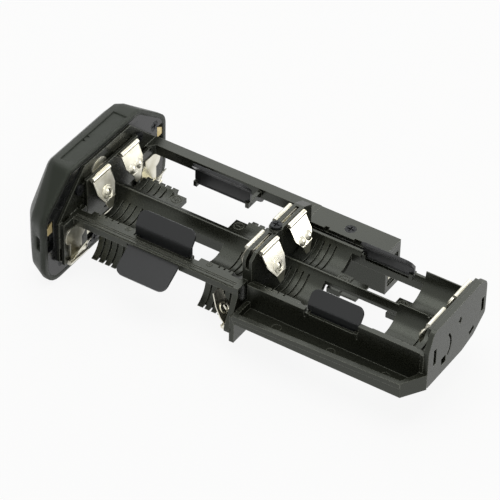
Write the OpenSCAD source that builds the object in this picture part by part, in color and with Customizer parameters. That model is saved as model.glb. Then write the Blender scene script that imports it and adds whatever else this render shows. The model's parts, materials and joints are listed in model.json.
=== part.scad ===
// Six-cell magazine that slides into a camera battery grip.
// X runs from the end cap to the end plate, Y from the near side to the far side, Z up.
// Every sub-part is drawn in a design frame: X = 0 is the bay side of the cap wall, Y = 0 is
// the middle plane and Z = 0 is the top of the contact folds. place() then stands the part
// on Z = 0 with its middle over the origin.

/* [Cells] */
// Diameter of a cell
cell_d = 14.5; // [14:0.1:14.6]
// Length of a cell
cell_len = 50.5; // [49.5:0.1:51]
// Radial room between a cell and its saddle
cell_room = 0.45; // [0.3:0.05:0.6]
// Half the pitch of the two upper cells
upper_y = 7.5; // [7.4:0.1:7.8]
// Drop of the upper cell axes below the contact folds
upper_drop = 6.75; // [6.5:0.05:7]
// Half the pitch of the two lower cells
lower_y = 20; // [19.8:0.1:20.4]
// Drop of the lower cell axes below the contact folds
lower_drop = 19.6; // [19.5:0.1:20]

/* [Lengths] */
// Clear length of the left bays between their walls
left_bay = 57.2; // [56:0.2:59]
// Clear length of the right bays between their walls
right_bay = 58.6; // [57:0.2:60]
// Thickness of the middle bulkhead
bulkhead_t = 3.2; // [3.1:0.1:4]
// Thickness of a contact wall
wall_t = 1; // [0.9:0.05:1.1]
// Gap behind a contact wall
clip_gap = 0.6; // [0.6:0.05:0.8]
// Thickness of the end plate
end_t = 1.6; // [1.2:0.1:2.4]
// Thickness of the frame's head plate
head_t = 0.9; // [0.8:0.1:1.2]

/* [Cap] */
// Half width of the cap
cap_half = 32.3; // [32:0.1:33]
// Height of the cap top above the contact folds
cap_top = 5.7; // [5.4:0.1:6.5]
// Depth of the cap bottom below the contact folds
cap_bottom = 31; // [30:0.5:33]
// Half length of the flat cap top
cap_flat = 18.4; // [17.5:0.2:19.5]
// Depth of the cap shoulder below the contact folds
cap_shoulder = 5.3; // [4.5:0.1:6]
// Thickness of the cap from rim to outer face
cap_t = 10.5; // [10.3:0.1:12]
// Wall of the cap rim
cap_wall = 1.6; // [1.4:0.1:1.8]
// Radius of the lower cap corners
cap_round = 7.5; // [6:0.5:9]
// Hollow of the cap's lower edge, which lets it stand on its two ends
cap_arch = 0.4; // [0.3:0.05:0.6]

/* [Lock] */
// Radius of the lock knob
knob_r = 11.6; // [10:0.1:11.6]
// Depth of the knob axis below the contact folds
knob_drop = 14.5; // [14:0.1:15]
// Height of the grip bar above the knob face
grip_h = 2.2; // [1.5:0.1:3]
// Radius of the knob shaft
shaft_r = 3; // [2.6:0.1:3.2]
// Travel of a lock bolt over a quarter turn
bolt_travel = 4; // [3:0.1:4]
// Width of a lock bolt
bolt_w = 5; // [4:0.1:6]

/* [Rails] */
// Drop of the near shelf and the far rail below the contact folds
shelf_drop = 9.5; // [9.3:0.1:9.8]
// Outer face of the near shelf
shelf_out = 20.6; // [20.3:0.1:20.8]
// Inner face of the near shelf
shelf_in = 16.3; // [16.2:0.1:16.5]
// Inner face of the far rail
rail_in = 22; // [21.8:0.1:22.4]
// Outer face of the far rail
rail_out = 25.8; // [25.4:0.1:26]

/* [Trough] */
// Outer face of the trough's front wall
trough_out = 25.5; // [24.5:0.1:26]
// Drop of the trough lip below the contact folds, at the bulkhead
lip_drop = 15.2; // [14.5:0.1:15.8]
// Rise of the trough lip from the bulkhead to the end plate
lip_rise = 2; // [1:0.1:2.5]
// Drop of the trough bottom below the contact folds
trough_drop = 18.6; // [18:0.1:20]

/* [Terminals] */
// Length of the terminal housing
housing_len = 28; // [26:0.5:32]
// Height of the terminal housing with its lid
housing_h = 16; // [14:0.5:16]
// Number of terminal blades
blade_count = 3; // [2:1:4]

/* [Contacts] */
// Width of a contact leaf
leaf_w = 8.8; // [8:0.1:9]
// Thickness of the contact strip
strip_t = 0.35; // [0.3:0.05:0.35]
// Radius of the rolled contact fold
fold_r = 0.85; // [0.8:0.05:0.9]
// Squeeze of a cell between its two leaves
squeeze = 1.2; // [0.6:0.1:1.6]

/* [Flaps] */
// Length of a flap on the left bays
flap_left_len = 20; // [16:0.5:21]
// Length of a flap on the right bays
flap_right_len = 17.6; // [14:0.2:18]
// Length of a flap on the lower bays
flap_low_len = 18; // [15:0.5:18.5]
// Thickness of a flap
flap_t = 0.9; // [0.8:0.1:1]

/* [Hidden] */
$fn = 48;

// Colours
cap_grey = "#4b4e4a";
plate_black = "#17181a";
frame_grey = "#2a2b27";
flap_grey = "#333534";
nickel = "#c9c7b0";
steel = "#9a9b9c";
brass = "#b39a62";
screw_dark = "#2a2b2d";

// Small shared sizes
eps = 0.01;
over = 1;
fit = 0.05;
room = 0.3;

// Stations along X
x_mid = left_bay;
x_right = x_mid + bulkhead_t;
x_last = x_right + right_bay;
x_plate = x_last + wall_t + clip_gap;
x_end = x_plate + end_t;
x_head = -wall_t - clip_gap;
x_rim = x_head - head_t;
x_cap = x_rim - cap_t;
knob_face = 0.1;
x_grip = x_cap + knob_face - grip_h;

// Heights and rows
upper_z = -upper_drop;
lower_z = -lower_drop;
knob_z = -knob_drop;
shelf_z = -shelf_drop;
rail_z = shelf_z + 0.5;
wall_top = -strip_t / 2;
fold_z = -fold_r;
low_fold_cap = lower_z - 4.8;
low_fold_mid = lower_z - 3;
low_edge = strip_t - fold_r;
bay_r = cell_d / 2 + cell_room;
saddle_r = bay_r + 2;
base_z = -cap_bottom;
foot_z = low_fold_mid - 4;

// Moves the design frame to the part's own frame
module place() translate([-(x_end + x_grip) / 2, 0, -base_z]) children();

// Ranges round a middle value, and from a start value
function about(c, half) = [c - half, c + half];
function span_at(c, low, high) = [c + low, c + high];

// Box between two corners, given as ranges
module block(x, y, z)
    translate([x[0], y[0], z[0]]) cube([x[1] - x[0], y[1] - y[0], z[1] - z[0]]);

// Outline drawn in Y and Z, carried along X
module along_x(x) translate([x[0], 0, 0]) rotate([90, 0, 90]) linear_extrude(x[1] - x[0]) children();

// Round bar along X
module rod_x(x, y, z, r) translate([x[0], y, z]) rotate([0, 90, 0]) cylinder(h = x[1] - x[0], r = r);

// Near and far copies about the middle plane
module both_sides() {
    children();
    mirror([0, 1, 0]) children();
}
module on_side(side) {
    if (side > 0) children();
    else mirror([0, 1, 0]) children();
}
module facing(way) {
    if (way > 0) children();
    else mirror([1, 0, 0]) children();
}
module hung(way) {
    if (way > 0) children();
    else mirror([0, 0, 1]) children();
}

// Points of a rounded corner at p between a and b
function unit(v) = v / norm(v);
function short_turn(t) = t > 180 ? t - 360 : t < -180 ? t + 360 : t;
function corner(a, p, b, r, n = 6) =
    r == 0 ? [p] :
    let (
        u = unit(a - p), v = unit(b - p), half = acos(u * v) / 2,
        c = p + unit(u + v) * r / sin(half),
        s = p + u * r / tan(half) - c, e = p + v * r / tan(half) - c,
        from = atan2(s[1], s[0]), turn = short_turn(atan2(e[1], e[0]) - from)
    )
    [for (i = [0:n]) c + r * [cos(from + turn * i / n), sin(from + turn * i / n)]];
function rounded(pts, rs) =
    let (n = len(pts))
    [for (i = [0:n - 1]) each corner(pts[(i + n - 1) % n], pts[i], pts[(i + 1) % n], rs[i])];

// Outline completed from its far half
function reversed(list) = [for (i = [len(list) - 1:-1:0]) list[i]];
function mirrored(half) = concat(half, [for (p = reversed(half)) [-p[0], p[1]]]);
function mirrored_list(half) = concat(half, reversed(half));

// CAP

// Chamfered cap outline in Y and Z
function cap_outline(flat, half, top, shoulder, bottom, low_r) =
    rounded(
        mirrored([[flat, top], [half, shoulder], [half, bottom]]),
        mirrored_list([3, 6, low_r])
    );
function cap_inset(d) =
    cap_outline(
        cap_flat - d / 3, cap_half - d, cap_top - d, -cap_shoulder - d / 3, base_z + d, cap_round - d
    );

inner_t = 1.7;
x_ledge = x_rim - inner_t;
x_floor = x_rim - 5.3;
recess_d = 3.2;
x_recess = x_cap + recess_d;
ledge_in = 3.2;
bolt_x = [x_ledge - 1.8, x_ledge - 0.3];
cam_x = [x_floor + 0.3, x_floor + 1.5];
cap_screw_at = [
    [cap_half - 6.3, -cap_shoulder - 0.4], [8.8 - cap_half, 1.9 - cap_shoulder],
    [cap_half - 8.3, base_z + 6], [8.3 - cap_half, base_z + 6]
];
screw_r = 0.9;
head_r = 1.8;
head_h = 0.9;
boss_r = 2.4;
rib_t = 1.2;
rib_from = 15.5;

// One thin slice of the cap, drawn in from the full outline by the given amounts
slice_t = 0.2;
module cap_slice(x, flat_in, side_in, top_in, low_in)
    along_x([x, x + slice_t])
        polygon(cap_outline(cap_flat - flat_in, cap_half - side_in, cap_top - top_in,
            -cap_shoulder - side_in / 2, base_z + low_in, cap_round - low_in / 4));

module cap_shell_body()
    hull() {
        cap_slice(x_rim - slice_t, 0, 0, 0, 0);
        cap_slice(x_rim - 1.6, 0, 0, 0, 0);
        cap_slice(x_rim - 6.2, 0.4, 2, 0, 1.5);
        cap_slice(x_rim - 8.4, 1.2, 4.6, 0.4, 3);
        cap_slice(x_cap, 3.4, 7.2, 2.7, 4.6);
    }

module cap_shell() {
    panel_x = [x_rim - 6.1, x_rim - 1.2];
    panel_y = [-15, 13];
    panel_d = 0.35;
    arrow_y = [-3.6, -1.4];
    arrow_l = 1.3;
    arch_half = 2 * (cap_half - cap_round + 0.5);
    color(cap_grey) difference() {
        union() {
            difference() {
                cap_shell_body();
                along_x([x_ledge, x_rim + over]) polygon(cap_inset(cap_wall));
                along_x([x_floor, x_rim]) polygon(cap_inset(ledge_in));
            }
            for (at = cap_screw_at) rod_x([x_floor - eps, x_ledge], at[0], at[1], boss_r);
            both_sides() for (s = [-1, 1])
                block([x_floor - eps, x_ledge], [rib_from, cap_half - ledge_in + eps],
                    about(knob_z + s * (bolt_w + rib_t) / 2, rib_t / 2 - fit));
        }
        rod_x([x_cap - over, x_recess], 0, knob_z, knob_r + room + 0.1);
        rod_x([x_cap, x_rim], 0, knob_z, shaft_r + fit);
        both_sides() block([bolt_x[0] - fit, x_ledge + eps], [rib_from, cap_half + over],
            about(knob_z, bolt_w / 2 + fit));
        translate([0, 0, base_z]) along_x([x_cap, x_rim + over])
            polygon([[-arch_half, -cap_arch], [0, cap_arch], [arch_half, -cap_arch]]);
        block(panel_x, panel_y, [cap_top - panel_d, cap_top + over]);
        translate([panel_x[0], 0, cap_top - 2 * panel_d]) linear_extrude(over)
            for (y = arrow_y) polygon([[-eps, y - arrow_l / 2], [-eps, y + arrow_l / 2], [arrow_l, y]]);
        for (at = cap_screw_at) rod_x([x_floor + 0.5, x_rim], at[0], at[1], screw_r + fit);
    }
}

// Plate that closes the cap, with a notch that shows the near bolt
notch_y = [cap_half - 4.8, cap_half];
notch_z = [knob_z - 3.5, knob_z + 7.5];
frame_screw_at = [[15.6, -2.8], [-15.6, -2.8], [9, -25.3], [-9, -25.3]];
x_frame_shank = x_rim - inner_t + 0.2;
shaft_hole_r = shaft_r + 1.6;

module head_plate() {
    color(plate_black) difference() {
        along_x([x_ledge, x_rim]) polygon(cap_inset(cap_wall + fit));
        both_sides() block([x_ledge - over, x_rim + over], notch_y, notch_z);
        for (at = cap_screw_at) {
            rod_x([x_ledge - over, x_rim + over], at[0], at[1], screw_r + fit);
            rod_x([x_rim - head_h, x_rim + over], at[0], at[1], head_r + fit);
        }
        for (at = frame_screw_at)
            rod_x([x_frame_shank - fit, x_rim + over], at[0], at[1], screw_r + fit);
        rod_x([x_ledge - over, x_rim + over], 0, knob_z, shaft_hole_r);
    }
}

// Screw along X with its head towards the bay
module screw_x(x_tip, x_top, y, z) {
    slot_w = 0.45;
    slot_l = 2.2;
    difference() {
        union() {
            rod_x([x_tip, x_top - head_h + eps], y, z, screw_r);
            rod_x([x_top - head_h, x_top], y, z, head_r);
        }
        for (turn = [0, 90]) translate([x_top, y, z]) rotate([turn, 0, 0])
            cube([head_h, slot_l, slot_w], center = true);
    }
}

module cap_screws()
    color(screw_dark) for (at = cap_screw_at) screw_x(x_floor + 0.8, x_rim, at[0], at[1]);

// Brass guide plates on the cap ledge, beside the bolts
module bolt_keepers() {
    keep_in = cap_half - 4.4;
    keep_out = cap_half - cap_wall - fit;
    low = knob_z + bolt_w / 2 + 0.5;
    color(brass) both_sides() along_x([x_ledge, x_rim - 0.2])
        polygon([[keep_in, low], [keep_out, low], [keep_out, low + 2.4], [keep_in, low + 4]]);
}

// LOCK

pin_r = 1;
pin_from = 7;
cam_r = 12.8;
ring_t = 0.6;
groove_r = shaft_r - 0.4;
x_shaft = cam_x[1] + 1.1;

module lock_knob() {
    grip_w = 4.4;
    disc_x = [x_cap + knob_face, x_recess - fit];
    color(cap_grey) difference() {
        union() {
            rod_x(disc_x, 0, knob_z, knob_r);
            rod_x([disc_x[0], x_shaft], 0, knob_z, shaft_r);
            intersection() {
                rod_x([x_grip, x_recess - over], 0, knob_z, knob_r - 0.6);
                block([x_grip, x_recess - over], [-knob_r, knob_r], about(knob_z, grip_w / 2));
            }
        }
        difference() {
            rod_x([cam_x[1], cam_x[1] + ring_t], 0, knob_z, shaft_r + over);
            rod_x([cam_x[0], x_shaft], 0, knob_z, groove_r);
        }
        for (s = [-1, 1]) rod_x([disc_x[0] - over, disc_x[0] + 0.5], 0, knob_z + s * 7.5, 1.1);
    }
}

// Spiral slot that carries a bolt pin outwards by bolt_travel in a quarter turn
function slot_point(turn, off) =
    let (r = pin_from + bolt_travel * max(0, min(90, turn)) / 90 + off) r * [cos(turn), -sin(turn)];

module cam_slot() {
    half = (pin_r + 0.12) / 0.93;
    lead = 11;
    steps = 24;
    turns = [for (i = [0:steps]) -lead + (90 + 2 * lead) * i / steps];
    polygon(concat(
        [for (t = turns) slot_point(t, half)],
        [for (i = [steps:-1:0]) slot_point(turns[i], -half)]
    ));
}

module cam_disc()
    color(steel) translate([0, 0, knob_z]) along_x(cam_x) difference() {
        circle(cam_r);
        circle(shaft_r + eps);
        for (turn = [0, 180]) rotate(turn) cam_slot();
    }

module retaining_ring()
    color(steel) translate([0, 0, knob_z]) along_x([cam_x[1], cam_x[1] + ring_t]) difference() {
        circle(shaft_r + 1.2);
        circle(groove_r + eps);
        translate([0, -groove_r * 0.7]) square([over + shaft_r * 2, groove_r * 1.4]);
    }

module lock_bolt(side)
    color(steel) on_side(side) {
        block(bolt_x, [pin_from - 1.6, cap_half - 2.3], about(knob_z, bolt_w / 2));
        rod_x([cam_x[0] + 0.1, bolt_x[0] + eps], pin_from, knob_z, pin_r);
    }
module bolt_near() lock_bolt(-1);
module bolt_far() lock_bolt(1);

// FRAME

saddle_gap = 3.5;
left_saddle = 11.5;
right_mid_saddle = 13;
right_end_saddle = 17.2;
ridge_top = shelf_z + 0.3;
left_ridge_low = -16.5;
left_ridge_half = 2.4;
right_ridge_low = -12.4;
right_ridge_half = 1.2;
far_floor = 6.5;
far_floor_low = -15.5;
left_far = 11.3;
low_wall = [lower_y - 6.1, lower_y + 5.6];
near_wall = [-17.8, -16.2];
far_wall = [13.9, 15.5];
near_end = 18.2;
upper_wall = 13.4;
wall_low = -15.8;
groove_w = 0.6;
groove_d = 0.8;
even_ribs = [0.2, 0.4, 0.6, 0.8];
first_ribs = [0.28, 0.41, 0.54, 0.67];
last_ribs = [0.58, 0.74, 0.9];
pad_len = 4.5;
pad_z = upper_z - bay_r - fit;
pad_t = 1.8;

// Grooves that leave thin ribs across a saddle, at given shares of its length
module saddle_grooves(x, y, z, ribs)
    for (share = ribs)
        rod_x(about(x[0] + (x[1] - x[0]) * share, groove_w / 2), y, z, bay_r + groove_d);

// Room for the two upper cells
module upper_bays(x) both_sides() rod_x(x + [-1, 1], upper_y, upper_z, bay_r);

// Cradle for the two upper cells, up to a given height and out to a given far edge
module upper_saddle(x, top, far, ribs)
    difference() {
        intersection() {
            both_sides() rod_x(x, upper_y, upper_z, saddle_r);
            block(x, [-saddle_r - upper_y, far], [upper_z - saddle_r - over, top]);
        }
        upper_bays(x);
        both_sides() saddle_grooves(x, upper_y, upper_z, ribs);
    }

// Inner half of the cradle for a lower cell, up to a given height
module lower_cradle(x, side, top, ribs)
    on_side(side) difference() {
        intersection() {
            rod_x(x, lower_y, lower_z, saddle_r);
            block(x, [lower_y - saddle_r - over, lower_y - 0.6], [lower_z - 7, top]);
        }
        rod_x(x + [-1, 1], lower_y, lower_z, bay_r);
        upper_bays(x);
        saddle_grooves(x, lower_y, lower_z, ribs);
    }

// Ridge between the two upper cells, with a floor strip if its far edge is stated
module ridge(x, half, low, far = 0)
    difference() {
        union() {
            block(x, [-half, half], [low, ridge_top]);
            if (far > half) block(x, [0, far], [far_floor_low, ridge_top]);
        }
        upper_bays(x);
    }

// Slots in a contact wall for the straps of its two upper clips
module strap_slots(x)
    both_sides()
        block(x + [-over, over], about(upper_y, leaf_w / 2 + fit), about(fold_z, strip_t / 2 + fit));

// Ringed polarity mark, raised on a flat
module polarity_mark(x, y, z, r, plus) {
    line = 0.35;
    rise = 0.2;
    translate([x, y, z - eps]) linear_extrude(rise) {
        difference() {
            circle(r);
            circle(r - line);
        }
        square([r, line], center = true);
        if (plus) square([line, r], center = true);
    }
}

// Floor pad beside a far saddle, with its mark
module polarity_pad(x, far, plus) {
    ring_r = 1.7;
    block(x, [0, far], [pad_z - pad_t, pad_z]);
    polarity_mark((x[0] + x[1]) / 2, far - ring_r - 0.5, pad_z, ring_r, plus);
}

// Flap hinges: axis places, lugs and pins
lug_t = 1.2;
lug_in = 1.3;
lug_low = 1;
lug_top = 0.9;
flap_room = 0.3;
flap_pin_r = 0.4;
bead_r = 0.6;
pin_len = flap_room + lug_t - 0.1;
hinge_z = shelf_z - 1.2;
hinge_y = shelf_in - 0.3;
far_right_y = 15.1;
low_in = 0.85;
low_hinge_near = [shelf_out - low_in, shelf_z - 1.95];
low_hinge_far = [rail_out - low_in, shelf_z - 1.95];
flap_left_x = about(x_mid / 2 + 1.1, flap_left_len / 2);
flap_right_x = about((x_right + x_last) / 2 - 0.5, flap_right_len / 2);
flap_low_x = [flap_left_x[0], flap_left_x[0] + flap_low_len];

// Two lugs inside the ends of an upper flap, each with a pin hole
module flap_lugs(x, at, y, z)
    for (lug_x = [[x[0], x[0] + lug_t], [x[1] - lug_t, x[1]]])
        difference() {
            block(lug_x, y, z);
            rod_x(lug_x + [-1, 1], at[0], at[1], flap_pin_r + fit);
        }

// Slot under a rail's outer edge for a lower flap, with its pin holes
module low_flap_slot(at, side) {
    gate = flap_low_x + [-1, 1] * flap_room;
    on_side(side) {
        block(gate, [at[0] - bead_r - room, at[0] + low_in + over],
            span_at(at[1], -bead_r - 2 * over, bead_r + room));
        rod_x(flap_low_x + [-1, 1] * (flap_room + lug_t), at[0], at[1], flap_pin_r + fit);
    }
}

cap_saddle = [saddle_gap, saddle_gap + left_saddle];
mid_saddle = [x_mid - saddle_gap - left_saddle, x_mid - saddle_gap];
shelf_low = shelf_z - 1.9;

// Near shelf with two fine grooves, a notch for the upper flap and a slot for the lower one
module near_shelf() {
    x = [x_head - eps, x_mid];
    band_t = 1.8;
    band_low = shelf_z - 2.65;
    edge = 0.4;
    line_w = 0.3;
    line_d = 0.25;
    flat_in = 14.75;
    gate = flap_left_x + [-1, 1] * flap_room;
    difference() {
        union() {
            block(x, [-shelf_out, -shelf_in], [shelf_low, shelf_z]);
            block(x, [-shelf_out, -shelf_out + band_t], [band_low, shelf_z]);
            block([cap_saddle[1] - eps, gate[0]], [-shelf_in - eps, -flat_in], [shelf_low, shelf_z]);
        }
        block(gate, [-shelf_in - 0.9, -shelf_in + 2 * over], [shelf_low - over, shelf_z + over]);
        block(x + [0, over], [-shelf_out - over, -shelf_out + edge], [shelf_z - edge, shelf_z + over]);
        for (line = [1.2, 1.9])
            block([0, x_mid + over], span_at(line - shelf_out, 0, line_w),
                [shelf_z - line_d, shelf_z + over]);
        low_flap_slot(low_hinge_near, -1);
    }
}

// Far rail with a gusset at the head plate and a slot for the lower flap
module far_rail() {
    x = [x_head - eps, x_mid];
    rail_low = rail_z - 3.6;
    gusset = 2.5;
    difference() {
        block(x, [rail_in, rail_out], [rail_low, rail_z]);
        low_flap_slot(low_hinge_far, 1);
    }
    translate([0, 0, rail_low]) linear_extrude(rail_z - rail_low)
        polygon([[x[0], rail_in - gusset], [x[0] + gusset, rail_in + eps], [x[0], rail_in + eps]]);
}

module frame_left() {
    head_out = low_wall[1] + 0.4;
    head_half = [[upper_wall - 1.4, cap_top - 1.7], [head_out, shelf_z],
        [head_out, base_z + 7], [lower_y + 2, base_z + 3.5]];
    spacer = [x_head - eps, -wall_t + eps];
    spacer_t = 1.2;
    spacer_low = -19;
    bridge = [9.5, 12.6];
    bridge_z = [-16.6, -15];
    mark_r = 0.95;
    mark_y = -15.75;
    color(frame_grey) {
        difference() {
            along_x([x_rim, x_head]) polygon(mirrored(head_half));
            for (at = frame_screw_at)
                rod_x([x_rim - over, x_head + over], at[0], at[1], screw_r + fit);
            rod_x([x_rim - over, x_head + over], 0, knob_z, shaft_hole_r);
        }
        difference() {
            block([-wall_t, 0], [-upper_wall, upper_wall], [wall_low, wall_top]);
            strap_slots([-wall_t, 0]);
        }
        both_sides() {
            block([-wall_t, 0], low_wall, [low_fold_cap + low_edge, shelf_z]);
            block(spacer, [upper_wall - spacer_t, upper_wall], [wall_low, -2]);
            block(spacer, [low_wall[0], low_wall[0] + spacer_t], [spacer_low, shelf_z]);
            block(spacer, [low_wall[1] - spacer_t, low_wall[1]], [spacer_low, shelf_z]);
        }
        block(spacer, [-spacer_t, spacer_t], [wall_low, -5]);
        ridge([-eps, x_mid], left_ridge_half, left_ridge_low, far_floor);
        near_shelf();
        far_rail();
        upper_saddle(cap_saddle, shelf_z, left_far, even_ribs);
        upper_saddle(mid_saddle, shelf_z, left_far, last_ribs);
        for (x = [cap_saddle, mid_saddle]) {
            lower_cradle(x, -1, shelf_low + eps, even_ribs);
            lower_cradle(x, 1, bridge_z[1], even_ribs);
            block(x, bridge, bridge_z);
        }
        polarity_pad([cap_saddle[1] - eps, cap_saddle[1] + pad_len], left_far, true);
        polarity_pad([mid_saddle[0] - pad_len, mid_saddle[0] + eps], left_far, false);
        polarity_mark(cap_saddle[1] + 1.6, mark_y, shelf_z, mark_r, false);
        polarity_mark(mid_saddle[0] + 3.6, mark_y, shelf_z, mark_r, true);
        flap_lugs(flap_left_x, [-hinge_y, hinge_z], [-shelf_in - 0.91, -hinge_y + lug_in],
            span_at(hinge_z, -lug_low, lug_top));
        flap_lugs(flap_left_x, [hinge_y, hinge_z], [hinge_y - lug_in, rail_in + eps],
            span_at(hinge_z, -lug_low, lug_top));
    }
}

module frame_screws()
    color(screw_dark) for (at = frame_screw_at)
        screw_x(x_frame_shank, x_head + head_h, at[0], at[1]);

// Middle bulkhead: two contact walls, lower wings and two feet
boss_x = x_mid + bulkhead_t / 2;
boss_top = 0.3;
boss_d = 6;
pocket_half = leaf_w / 2 + 0.2;
pocket_d = 4.6;
low_leg_w = 5;
wing_t = wall_t + clip_gap + 0.2;

module mid_bulkhead() {
    low = low_fold_mid + low_edge;
    foot_in = 12;
    foot_out = low_wall[1] - 0.8;
    wing_out = low_wall[1] - 0.4;
    foot_t = 1.6;
    foot_top = -17;
    wall_half = upper_wall - 0.4;
    near_edge = upper_wall + 2.1;
    far_edge = housing_y[0];
    upper_low = foot_top - 1;
    upper_pts = [[-near_edge, -2], [-wall_half, wall_top], [wall_half, wall_top],
        [far_edge, -2.2], [far_edge, upper_low], [-near_edge, upper_low]];
    near_pts = [[-shelf_out, shelf_z], [-15.4, shelf_z], [-foot_in, foot_top], [-foot_in, low],
        [-wing_out, low], [-wing_out, low + 1.1], [-shelf_out, shelf_z - 2.6]];
    far_pts = [[far_edge - 0.1, rail_z], [rail_out, rail_z], [rail_out, low], [foot_in, low],
        [foot_in, foot_top]];
    foot_x = [x_right - foot_t, x_right];
    pocket_x = [x_mid + wall_t, x_right - wall_t];
    pocket_low = -5.5;
    color(frame_grey) difference() {
        union() {
            along_x([x_mid, x_right]) polygon(upper_pts);
            along_x([x_mid, x_mid + wing_t]) polygon(near_pts);
            along_x([x_mid, x_mid + wing_t]) polygon(far_pts);
            block(foot_x, [-foot_out, -foot_in], [foot_z, foot_top]);
            block(foot_x, [foot_in, foot_out], [foot_z, rail_z - housing_h - 0.2]);
            block([x_mid + wing_t - eps, x_right], [foot_in, housing_y[0]], [foot_z, foot_top + eps]);
            block([x_mid + wing_t - eps, foot_x[0] + eps], [-foot_in - 3, -foot_in], [low, foot_top]);
            translate([boss_x, 0, boss_top - boss_d]) cylinder(h = boss_d, r = 2.2);
        }
        block(pocket_x, [-near_edge - over, pocket_half - upper_y], [pocket_low, over]);
        block(pocket_x, about(upper_y, pocket_half), [pocket_low, over]);
        strap_slots([x_mid, x_right]);
        both_sides()
            block([pocket_x[0], x_mid + wing_t + over], about(lower_y, low_leg_w / 2 + 0.2),
                span_at(low_fold_mid, -over, pocket_d));
        translate([boss_x, 0, -5]) cylinder(h = boss_d, r = screw_r + fit);
    }
}

module bulkhead_screw()
    color(screw_dark) translate([boss_x, 0, 0]) rotate([0, -90, 0])
        screw_x(-4.6, boss_top + head_h, 0, 0);

// Side wall of the right half: low part, gate under the flap, raised part
module side_wall(y, foot, low, high, high_x) {
    gate = flap_right_x + [-1, 1] * flap_room;
    block([x_right, gate[0]], y, [foot, low]);
    block(gate + [-eps, eps], y, [foot, hinge_z - bead_r - room]);
    block([gate[1], high_x], y, [foot, low]);
    block([high_x - eps, x_plate], y, [foot, high]);
}

module frame_right() {
    wall_foot = -16;
    far_foot = -14;
    near_high = -6.5;
    far_high = -7.3;
    lip_t = 1.2;
    flange = 0.5;
    flange_h = 1.7;
    floor_z = lip_t - trough_drop;
    cut = 4.6;
    lip_len = x_end - cut - x_right;
    tilt = atan(lip_rise / lip_len);
    wall_mid = near_wall[1] - 0.4;
    pad_far = 8.2;
    first_saddle = [x_right + room, x_right + saddle_gap + right_mid_saddle];
    end_saddle = [x_last - right_end_saddle, x_last - eps];
    tabs = [x_right + 20.5, x_right + 39];
    tab_l = 2.8;
    tab_t = 0.9;
    color(frame_grey) {
        difference() {
            union() {
                side_wall(near_wall, wall_foot, shelf_z + 0.5, near_high, flap_right_x[1] + 0.5);
                side_wall(far_wall, far_foot, shelf_z, far_high, flap_right_x[1] + 4);
                block(flap_right_x, [near_wall[0], -hinge_y - bead_r - room], [wall_foot, hinge_z + bead_r]);
            }
            upper_bays([x_right, x_plate]);
        }
        difference() {
            block([x_last, x_last + wall_t], [-upper_wall, upper_wall], [wall_low, wall_top]);
            strap_slots([x_last, x_last + wall_t]);
        }
        ridge([x_right, x_plate], right_ridge_half, right_ridge_low);
        upper_saddle(first_saddle, shelf_z, far_wall[1], first_ribs);
        upper_saddle(end_saddle, far_high, far_wall[1], last_ribs);
        polarity_pad([first_saddle[1] - eps, first_saddle[1] + pad_len], pad_far, false);
        polarity_pad([end_saddle[0] - pad_len, end_saddle[0] + eps], pad_far, true);
        block([first_saddle[1] - eps, housing_x[1]], [0, pad_far - 0.3], [far_floor_low, pad_z - 0.4]);
        flap_lugs(flap_right_x, [-hinge_y, hinge_z], [near_wall[0], -hinge_y + lug_in],
            span_at(hinge_z, -lug_low, lug_top));
        flap_lugs(flap_right_x, [far_right_y, hinge_z], [far_wall[0], far_right_y + lug_in],
            span_at(hinge_z, -lug_low, lug_top));
        difference() {
            translate([0, 0, -trough_drop]) linear_extrude(trough_drop - lip_drop + lip_rise + over)
                polygon([
                    [x_right, wall_mid], [x_right, -trough_out], [x_end - cut, -trough_out],
                    [x_end, -near_end], [x_plate, -near_end], [x_plate, wall_mid]
                ]);
            translate([0, 0, floor_z]) linear_extrude(trough_drop) polygon([
                [x_right + lip_t, near_wall[0]], [x_right + lip_t, -trough_out + lip_t],
                [x_end - cut - 0.8, -trough_out + lip_t], [x_plate - lip_t, -near_end - lip_t],
                [x_plate - lip_t, near_wall[0]]
            ]);
            translate([x_right, 0, -lip_drop]) rotate([0, -tilt, 0])
                block([-over, lip_len + 2 * cut], [-trough_out - over, near_wall[0]],
                    [0, 2 * lip_rise + over]);
        }
        translate([x_right, 0, -lip_drop]) rotate([0, -tilt, 0])
            block([0, lip_len], [-trough_out - flange, -trough_out + eps], [-flange_h, 0]);
        block([x_plate - lip_t, x_plate], [-near_end, near_wall[1]], [-trough_drop, near_high]);
        for (x = tabs)
            block([x, x + tab_l], span_at(lip_t - trough_out, -eps, tab_t), [floor_z - eps, -lip_drop - 0.2]);
    }
}

// End plate with its moulding holes
end_top = 1;
module end_plate() {
    far_edge = far_wall[1] - 0.5;
    low = 0.3 - trough_drop;
    pts = [[-near_end, low], [-near_end, -5], [2.7 - near_end, end_top], [far_edge, end_top],
        [far_edge, low + 5.8], [far_edge - 6.5, low + 1.5], [far_edge - 13, low]];
    slot_w = 1.6;
    arc_r = 6;
    color(frame_grey) along_x([x_plate, x_end]) difference() {
        polygon(rounded(pts, [0.8, 1.5, 2.5, 3.5, 2, 3, 3]));
        translate([12.2, -10.8]) square([slot_w, 5]);
        translate([-15.2, -11.8]) square([slot_w, 5.8]);
        translate([-1.3, -5.4]) square([2, 0.8]);
        translate([-0.6, -6.2]) square([0.8, 2.4]);
        translate([6.2, -15.4]) rotate(25) square([2.8, 1.5]);
        translate([-10.4, -15.2]) square([2.6, 2.6]);
        translate([-10.8, -9.5]) intersection() {
            difference() {
                circle(arc_r);
                circle(arc_r - 0.9);
            }
            rotate(-45) square(arc_r);
        }
    }
}

// TERMINALS

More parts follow.
